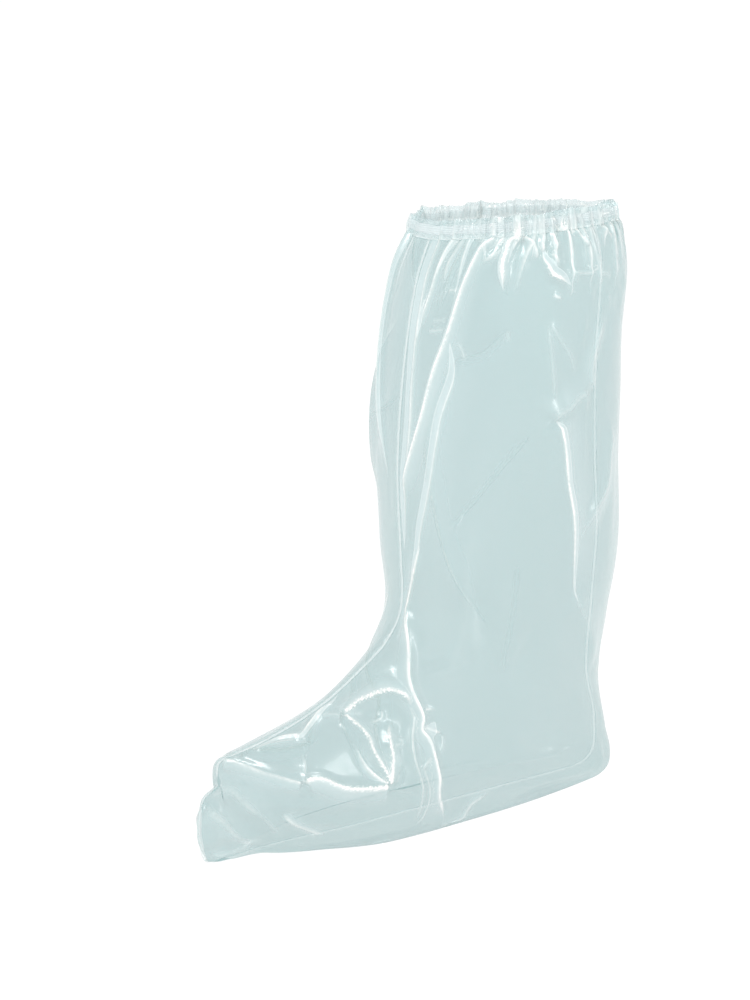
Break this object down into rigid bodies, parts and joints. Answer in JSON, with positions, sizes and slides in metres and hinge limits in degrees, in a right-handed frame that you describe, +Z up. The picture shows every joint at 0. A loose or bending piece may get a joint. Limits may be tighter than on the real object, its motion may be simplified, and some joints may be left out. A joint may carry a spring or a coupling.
{
  "type": "disposable boot cover",
  "caption": "Knee-high disposable boot cover of thin translucent film, worn shape, with edge weld and gathered elastic cuff.",
  "frame": {"origin": "centre of the leg opening, at the height of the cuff", "axes": "+Z up out of the opening, -Y towards the toe, +X to the outer side of a left leg"},
  "size_m": [0.1854, 0.3925, 0.477],
  "materials": {
    "film": "thin milky translucent film, glossy, pale aqua",
    "weld": "two films melted together, whiter and less clear",
    "hem_film": "folded double film, scrunched, glossy",
    "elastic": "matte off-white"
  },
  "bodies": {
    "root": {"outer_panel": "film", "inner_panel": "film", "edge_weld": "weld", "cuff_hem": "hem_film", "elastic_band": "elastic"}
  },
  "joints": []
}
